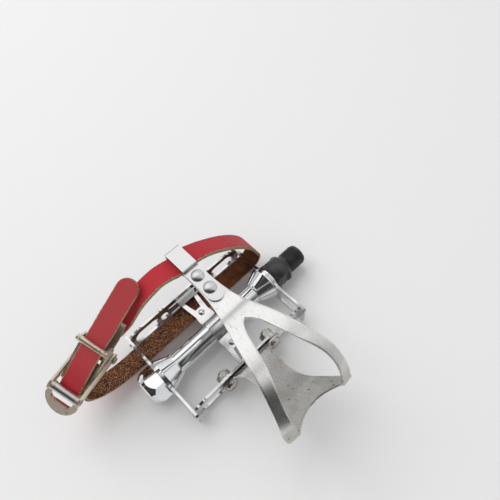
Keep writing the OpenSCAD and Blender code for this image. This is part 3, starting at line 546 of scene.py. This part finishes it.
clip_rows = [Vector((TAB_Y, BOLT_Z + EAR * math.sin(math.radians(a)),
                     BOLT_X + EAR * math.cos(math.radians(a)))) for a in (-90, -65, -40, -15, 5)]
clip_rows += [Vector(row) for row in (
    (TAB_Y, NECK_Z - 6, BOLT_X + 6.6), (TAB_Y, NECK_Z - 3.6, NECK_HALF + 9),
    (TAB_Y - 0.5, NECK_Z - 1.5, NECK_HALF + 4), (TAB_Y - 2.2, NECK_Z - 0.2, NECK_HALF + 1.4),
    (TAB_Y - 6, NECK_Z + 1.7, NECK_HALF - 0.7), (TAB_Y - REACH * 0.27, NECK_Z + 5.6, NECK_HALF - 1.6),
    (TAB_Y - REACH * 0.52, NECK_Z + 12.4, NECK_HALF - 2.4),
    (TAB_Y - REACH * 0.66, NECK_Z + 17.6, NECK_HALF - 0.7),
    (TAB_Y - REACH * 0.8, NECK_Z + 24.4, NECK_HALF + 3.4),
    (TAB_Y - REACH * 0.92, NECK_Z + 30.6, CLIP_HALF - 3.9),
    (FRONT_Y + 1.2, NECK_Z + 33.6, CLIP_HALF - 1.6), (FRONT_Y, NECK_Z + 36, CLIP_HALF - 0.4),
    (FRONT_Y + 0.6, NECK_Z + 39.4, CLIP_HALF + 0.8), (FRONT_Y + 4.2, CLIP_TOP - 9, CLIP_HALF + 0.6),
    (FRONT_Y + 0.168 * TOP_LEN, CLIP_TOP - 3, CLIP_HALF - 1),
    (FRONT_Y + 0.306 * TOP_LEN, CLIP_TOP + 3.6, CLIP_HALF - 3.2),
    (FRONT_Y + 0.468 * TOP_LEN, CLIP_TOP + 6, CLIP_HALF - 6.3),
    (FRONT_Y + 0.694 * TOP_LEN, CLIP_TOP + 5.4, CLIP_HALF - 9.9),
    (FRONT_Y + 0.903 * TOP_LEN, CLIP_TOP + 2.8, CLIP_HALF - 13.9),
    (FRONT_Y + TOP_LEN, CLIP_TOP + 0.8, 8), (GUIDE_Y - 25.5, CLIP_TOP, 6.7),
    (GUIDE_Y - 19.5, CLIP_TOP, 5.8), (GUIDE_Y - 11.5, CLIP_TOP, 5.1), (GUIDE_Y - 2.1, CLIP_TOP, 5))]
TAB_ROWS = 5                                    # rows round the tab's ears, before row 0
EDGE_ROW, ARMS_ROW, CROTCH_ROW = 8.68, 11.2, 17.7
EDGE_HALF, EDGE_POWER = 16.4, 2.3               # the free edge's half width and its roundness
ARM_INSIDE = [16.3, 17.0, 17.4, 16.7, 13.8, 9.8, 5.7, 2.6]
INSIDE_FROM = 11                                # the row of the first of them
SHUT, CROTCH_ROWS, CROTCH_SHUT = 3.0, 0.6, 0.5  # the inner columns' width where there is no opening

STEPS = 16
clip_line = curve_through(clip_rows, STEPS)
clip_mid = [Vector((0, row.x, row.y)) for row in clip_line]
clip_reached = lengths_along(clip_mid)
CLIP_LENGTH = clip_reached[-1]
print("clip blank:", round(CLIP_LENGTH), "mm long")


# %% Widths of the clip's blank
def row_at(along):
    """The row number of a length along the blank, with its fraction."""
    i = min(max(bisect.bisect(clip_reached, along) - 1, 0), len(clip_line) - 2)
    return (i + (along - clip_reached[i]) / (clip_reached[i + 1] - clip_reached[i])) / STEPS


def half_at(row):
    """Half the blank's width at a row."""
    i = min(int(row * STEPS), len(clip_line) - 2)
    return clip_line[i].lerp(clip_line[i + 1], row * STEPS - i).z


def opening_at(row):
    """Half width of the opening: the wall's free edge, the arms' inner edges, the crotch."""
    place = row - TAB_ROWS
    if place <= EDGE_ROW:
        return SHUT
    if place < ARMS_ROW:
        share = (ARMS_ROW - place) / (ARMS_ROW - EDGE_ROW)
        return max(SHUT, EDGE_HALF * (1 - share ** EDGE_POWER) ** (1 / EDGE_POWER))
    last = len(ARM_INSIDE) - 1
    i = min(int(place) - INSIDE_FROM, last - 1)
    around = [ARM_INSIDE[min(max(i + k, 0), last)] for k in (-1, 0, 1, 2)]
    half = bend(*around, min(place, CROTCH_ROW) - INSIDE_FROM - i)
    near_crotch = min(max((place - CROTCH_ROW + CROTCH_ROWS) / CROTCH_ROWS, 0), 1)
    return max(CROTCH_SHUT, half * (1 - near_crotch ** 2) ** 0.5)


def in_opening(row):
    """Whether the sheet is cut open at a row, from the wall's free edge to the crotch."""
    return EDGE_ROW < row - TAB_ROWS < CROTCH_ROW


print("clip blank:", round(2 * max(row.z for row in clip_line)), "mm wide")

# %% The clip's blank
INNER, OUTER = 2, 8                             # columns inside the opening's edge, and up to the rim
STATIONS, RIM_ROUND = 900, 0.28

bm = blank(CLIP_LENGTH, STATIONS, 2 * OUTER, SHEET)
doomed = [face for face in bm.faces if abs(face.calc_center_median().y) < INNER
          and in_opening(row_at(face.calc_center_median().x))]
bmesh.ops.delete(bm, geom=doomed, context="FACES")
for vert in bm.verts:
    row = row_at(vert.co.x)
    side, column = math.copysign(1, vert.co.y), abs(vert.co.y)
    inner, outer = opening_at(row), half_at(row)
    if column <= INNER:
        vert.co.y = side * inner * column / INNER
    else:
        vert.co.y = side * (inner + (outer - inner) * (column - INNER) / (OUTER - INNER))
thicken(bm, SHEET, RIM_ROUND)


# %% Bend the clip
CURL_ROW, CURL_ROWS, CURL_DEPTH = 12.8, 3.8, 2.2
KNOCK_ROW, KNOCK_ROWS, KNOCK_SHARE, KNOCK_FROM = 12.0, 2.4, 0.16, 2


def nearness(row, middle, reach):
    """1 at the middle row, and 0 from reach rows away."""
    return max(0.0, 1 - abs(row - middle) / reach)


def curl(row, across):
    """How far the arms' outer edges are curled back at the toe."""
    return CURL_DEPTH * nearness(row, CURL_ROW, CURL_ROWS) ** 1.2 * (abs(across) / CLIP_HALF) ** 3


def on_clip(along, across, height):
    """The place of a flat point on the clip, in metres."""
    height -= curl(row_at(along) - TAB_ROWS, across)
    i, share, place, run = station(clip_mid, clip_reached, along)
    return (place + Vector((across + CAGE_X, -run.z * height, run.y * height))) * MM


def pulled_in(along, across, height):
    """The crank side's arm has been knocked inwards a little at the toe."""
    knock = nearness(row_at(along) - TAB_ROWS, KNOCK_ROW, KNOCK_ROWS) ** 1.3
    return along, across - knock * KNOCK_SHARE * max(0.0, across - KNOCK_FROM), height


clip = bent("clip", bm, on_clip, pulled_in)
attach(clip, "pedal_body")
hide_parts("toe_clip")

# %% [markdown]
# ## The clip's steel
#
# Years of use show on the bare steel. Fine scratches run along the sheet. The wall is pitted and
# spotted where grit lay against it, and its far, upturned part is painted darker as shade. Brown
# stains spread between the pits, the neck is rubbed, and a little rust creeps from the bolts.


# %% The clip's finish
WALL_FROM, WALL_TO, NECK_FROM = 22, 92, 118     # lengths along the blank


def clip_steel(g):
    flat, along, across, _ = g.flat()
    scratches = g.noise(260, 3, vector=g.stretched(flat, (1, 9, 1)))
    cloud = g.noise(70, 4, vector=flat)
    wall = g.smooth(along, WALL_FROM, WALL_FROM + 18) * (1 - g.smooth(along, WALL_TO - 12, WALL_TO))
    patches = g.noise(75, 3, vector=g.stretched(flat, (1, 1, 1), (0.4, 0.2, 0.9)))
    pits = g.smooth(g.noise(820, 2, 0.6, vector=flat), 0.665, 0.70) * (0.12 + wall * 0.5)
    pits = pits * g.smooth(patches, 0.40, 0.62)
    spots = 1 - g.smooth(g.cells(310, vector=flat), 0.10, 0.20)
    spots = spots * g.smooth(g.noise(120, 1, vector=flat), 0.50, 0.56) * wall * 0.85
    pits = g.maths("MAXIMUM", pits, spots)
    stain = g.smooth(cloud, 0.50, 0.74) * (0.2 + wall * 0.8)
    rust = g.smooth(g.noise(120, 4, vector=flat), 0.45, 0.7)
    rust = rust * (1 - g.smooth(along, WALL_FROM, WALL_FROM + 24))
    marks = g.smooth(g.noise(330, 4, 0.65, vector=flat), 0.56, 0.72)
    marks = marks * g.smooth(along, NECK_FROM, NECK_FROM + 22)
    colour = g.mix(g.smooth(scratches, 0.3, 0.75), (0.80, 0.795, 0.785), (0.73, 0.725, 0.715))
    colour = g.mix(marks * 0.35, colour, (0.50, 0.49, 0.48))
    colour = g.mix(stain * 0.5, colour, (0.44, 0.38, 0.27))
    colour = g.mix(rust * 0.5, colour, (0.55, 0.40, 0.28))
    # Painted shade: the far, upturned part of the wall is darkened in its colour, as if turned away
    # from the light.
    painted_wall_shade = wall * g.smooth(along, WALL_FROM + 14, WALL_FROM + 38)
    colour = g.mix(painted_wall_shade * 0.7, colour, (0.40, 0.39, 0.35))
    colour = g.mix(pits, colour, (0.075, 0.045, 0.03))
    rims = g.smooth(across, CLIP_HALF - 1.1, CLIP_HALF + 0.4) * 0.1
    return {"Base Color": colour,
            "Roughness": 0.22 + scratches * 0.10 + stain * 0.08 + marks * 0.1 + pits * 0.3 - rims,
            "Normal": g.bump(scratches * 0.5 - pits * 1.2, 0.00006, 0.3)}


finishes["clip_steel"] = finish_of("worn_clip_steel", clip_steel, Metallic=1.0)
clip.data.materials.append(finishes["clip_steel"])
print("clip's steel made")

# %% [markdown]
# ## The line of the strap
#
# The strap starts folded round the buckle's bar, rises to the guide on the toe clip, comes down
# beside the crank, runs back under the barrel through the windows of the end plates, turns up to
# the buckle's roller and ends in a free tail. Each row below holds a point of its middle line, in
# millimetres from the middle of the cage, and the direction of its width.


# %% Sizes and shares along the strap
def turned(axis, degrees):
    """A turn about an axis."""
    return Matrix.Rotation(math.radians(degrees), 3, axis)


STRAP_W, STRAP_T = 12.6, 2.3
HALF, LOW, TOP = 44.5, -2.9, 62.2               # half the cage's length, the strap's foot and its top
GUIDE_HALF = 4.7
BUCKLE_AT = Vector((-86.3, -0.7, 32.1))
BUCKLE_TURN = turned("Y", -27.5) @ turned("X", 17.8) @ turned("Z", 6.6)
ACROSS = BUCKLE_TURN @ Vector((0, 1, 0))
BAR, WRAP, OFF_BAR_DEGREES = Vector((22.5, -14.3)), 2.7, -3
SPAN_END, TAIL_START = (10, WRAP), (-6.5, -18)
# Shares of the way in x, y and z, the share of the buckle's turn, and the hang
SPAN_SHARES = [(0.22, 0.3, 0.27, 0.6, 0), (0.345, 0.47, 0.55, 0.35, 0.06),
               (0.465, 0.62, 0.8, 0.2, 0.14), (0.605, 0.78, 0.98, 0.08, 0.22),
               (0.74, 0.9, 1.1, 0, 0.2), (0.87, 0.97, 1.09, 0, 0.1)]
# Shares of HALF in x and of TOP in z, and the hang
TOP_SHARES = [(0.19, 0.981, 0.1), (0.38, 0.9, 0.18), (0.67, 0.724, 0.12), (0.9, 0.535, 0.04),
              (1.045, 0.37, 0), (1.14, 0.2, 0)]
FOOT_SHARES = [(0.26, 0.04, -0.04, 0, 0), (0.5, 0.16, -0.01, 0.08, 0),
               (0.71, 0.35, 0.12, 0.25, 0), (0.88, 0.6, 0.34, 0.5, 0),
               (0.98, 0.82, 0.63, 0.8, 0)]
TAIL_ROWS = [TAIL_START, (-4.5, -14), (-2.6, -10), (-1.4, -6.8), (0, -4.6), (2, -3.6),
             (8, -2.9), (18, -0.4), (30, 0.5), (43, 0.8), (56, 1.1), (71, 1.4)]
print("buckle's roller at", [round(c, 1) for c in BUCKLE_AT], "mm")


# %% Places of rows
def in_buckle(u, n):
    """A place in the buckle, u along it from the roller and n off it."""
    return BUCKLE_AT + BUCKLE_TURN @ Vector((u, 0, n))


def off_bar(along, across):
    """The u and n of a place near the strap bar."""
    turn = math.radians(OFF_BAR_DEGREES)
    return (BAR.x + along * math.cos(turn) - across * math.sin(turn),
            BAR.y + along * math.sin(turn) + across * math.cos(turn))


def held(places):
    """Rows that the buckle holds straight."""
    return [(in_buckle(u, n), ACROSS) for u, n in places]


def free(places):
    """x, y, z, share of the buckle's turn, and how much the strap's rear edge hangs."""
    return [(Vector((x, y, z)), Vector((0, 1, 0)).lerp(ACROSS, share) - Vector((0, 0, hang)))
            for x, y, z, share, hang in places]


def between(a, b, shares):
    """Rows for free, at shares of the way from a to b."""
    return [(a.x + p * (b.x - a.x), a.y + q * (b.y - a.y), a.z + r * (b.z - a.z), share, hang)
            for p, q, r, share, hang in shares]


print("strap bar at", [round(c, 1) for c in in_buckle(BAR.x, BAR.y)], "mm")

# %% Rows along the strap
rows = held([off_bar(u, -WRAP) for u in (11, 6, 1.5)])
rows += held([off_bar(WRAP * math.cos(math.radians(a)), WRAP * math.sin(math.radians(a)))
              for a in (-90, -135, -180, -225, -270)])
rows += held([off_bar(3, WRAP), off_bar(*SPAN_END)])
rows += free(between(in_buckle(*off_bar(*SPAN_END)), Vector((-GUIDE_HALF, 0, TOP)), SPAN_SHARES))
rows += free([(-GUIDE_HALF, 0, TOP, 0, 0), (GUIDE_HALF, 0, TOP, 0, 0)])
rows += free([(x * HALF, 0, z * TOP, 0, hang) for x, z, hang in TOP_SHARES])
rows += free([(HALF + 8.4, 0, LOW + 8.6, 0, 0), (HALF + 6.4, 0, LOW + 3, 0, 0),
              (HALF, 0, LOW + 0.5, 0, 0), (HALF - 10, 0, LOW, 0, 0), (0, 0, LOW, 0, 0),
              (-HALF + 12, 0, LOW, 0, 0), (-HALF, 0, LOW, 0, 0)])
rows += free(between(Vector((-HALF, 0, LOW)), in_buckle(*TAIL_START), FOOT_SHARES))
rows += held(TAIL_ROWS)
print("strap rows:", len(rows))

# %% [markdown]
# ## From a flat strip to a strap
#
# The line is smoothed, and a point of the flat strip is placed on it by its length along the line,
# its distance across and its height. The tip of the tail is rounded while the strip is still flat,
# and its cut edges wander a little, as old leather's do.

# %% The strap's line
ROW_STEPS = 10
REAR_INSIDE, BESIDE_STRAP = 28.0, 1.0           # the rear cage plate's inner face, and the gap to it
LEAN = math.radians(1.3)

line = curve_through([place for place, width in rows], ROW_STEPS)
widths = curve_through([width for place, width in rows], ROW_STEPS)
reached = lengths_along(line)
STRAP_LENGTH = reached[-1]
foot_y = REAR_INSIDE - BESIDE_STRAP - STRAP_W / 2
strap_y = foot_y - (TOP - LOW) * math.sin(LEAN)
into_row = (Matrix.Translation((CAGE_X, strap_y, TOP)) @ Matrix.Rotation(LEAN, 4, "X")
            @ Matrix.Translation((0, 0, -TOP)))


def on_strap(along, across, height):
    """The place of a flat point on the strap, in metres in the row frame."""
    i, share, place, run = station(line, reached, along)
    side = widths[i].lerp(widths[i + 1], share)
    side = (side - run * side.dot(run)).normalized()
    return into_row @ (place + side * across + run.cross(side) * height) * MM


print("strap length:", round(STRAP_LENGTH), "mm")


# %% The strap's mesh
STRAP_COLUMNS, STRAP_RIM = 10, 0.45
EDGE_SHARE, FRAY = 0.9, 0.022                   # what counts as the edge, and how far it wanders


def cut_edges(x, y, z):
    """Rounds the tip of the tail, and frays the long edges."""
    over = max(0.0, (x - (STRAP_LENGTH - STRAP_W / 2)) / (STRAP_W / 2))
    y *= math.sqrt(max(0.02, 1 - over * over))
    wander = noise.noise(Vector((x * 0.9, y * 0.4, z * 1.5)))
    wander += 0.6 * noise.noise(Vector((x * 2.3, z, 7)))
    if abs(y) > EDGE_SHARE * STRAP_W / 2:
        y *= 1 - FRAY * (1 - wander)
    return x, y, z


bm = blank(STRAP_LENGTH, int(STRAP_LENGTH), STRAP_COLUMNS, STRAP_T)
for vert in bm.verts:
    vert.co.y *= STRAP_W / STRAP_COLUMNS
thicken(bm, STRAP_T, STRAP_RIM)
strap = bent("strap", bm, on_strap, cut_edges)
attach(strap, "pedal_body")
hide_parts("toe_strap")

# %% [markdown]
# ## Leather
#
# The grain side is dyed red, and faded on the tail, where the strap was handled. The flesh side is raw
# brown leather, rough and fibrous. The cut edges are an olive tan, with dark dirt in them. The
# coordinates come from the flat strip, so nothing stretches where the strap bends.


# %% Leather
FADES_FROM, FADED_AT = STRAP_LENGTH - 74, STRAP_LENGTH - 40     # the tail, towards its tip
SANDY_FROM, SANDY_AT = 208, 262                 # the foot, where the flesh side is rubbed lighter


def leather(g):
    flat, along, across, up = g.flat()
    across, height = across * (2 / STRAP_W), up * (2 / STRAP_T)     # 1 at an edge or a face
    wander = g.noise(700, 3, vector=flat) - 0.5
    inside = 1 - g.smooth(across + wander * 0.16, 0.90, 0.93)
    grain_side = g.smooth(height + wander * 0.5, 0.66, 0.82) * inside
    flesh_side = 1 - g.smooth(height + wander * 0.5, -0.82, -0.6)
    cloud = g.noise(90, 4, vector=flat)
    fine = g.noise(1500, 3, 0.7, vector=flat)
    pores = g.cells(1900, vector=flat)
    red = g.mix(cloud, (0.49, 0.030, 0.042), (0.40, 0.036, 0.046))
    faded = g.smooth(along + wander * 30, FADES_FROM, FADED_AT)
    red = g.mix(faded * 0.85, red, (0.42, 0.060, 0.066))
    red = g.mix(g.smooth(fine, 0.62, 0.8) * 0.25, red, (0.28, 0.03, 0.04))
    brown = g.mix(g.smooth(cloud, 0.3, 0.7), (0.035, 0.008, 0.003), (0.11, 0.034, 0.014))
    sandy = g.smooth(along + wander * 40, SANDY_FROM, SANDY_AT)
    fibres = g.smooth(fine, 0.50, 0.60)
    brown = g.mix(fibres * (0.12 + sandy * 0.75), brown, (0.42, 0.24, 0.14))
    tan = g.mix(g.smooth(g.noise(1300, 4, vector=flat), 0.35, 0.65), (0.19, 0.13, 0.065),
                (0.46, 0.36, 0.22))
    colour = g.mix(flesh_side, g.mix(grain_side, tan, red), brown)
    rough = 0.80 - grain_side * 0.34 + fine * 0.1
    relief = fine * (1 - grain_side * 0.75) + pores * grain_side * 0.35
    return {"Base Color": colour, "Roughness": rough, "Normal": g.bump(relief, 0.00016, 0.6)}


finishes["strap_leather"] = finish_of("strap_leather", leather, **{"Specular IOR Level": 0.13})
strap.data.materials.append(finishes["strap_leather"])
print("leather made")

# %% [markdown]
# ## Give each CAD node its finish
#
# The record says which material slot each node has, so one loop dresses the rigid parts.

# %% Dress the CAD nodes
slot_of = {s["node"]: s["material_slot"] for s in frame["record"]["subparts"]}
for name, node in nodes.items():
    for slot in node.material_slots:
        slot.material = finishes[slot_of[name]]
print("finished nodes:", len(nodes))
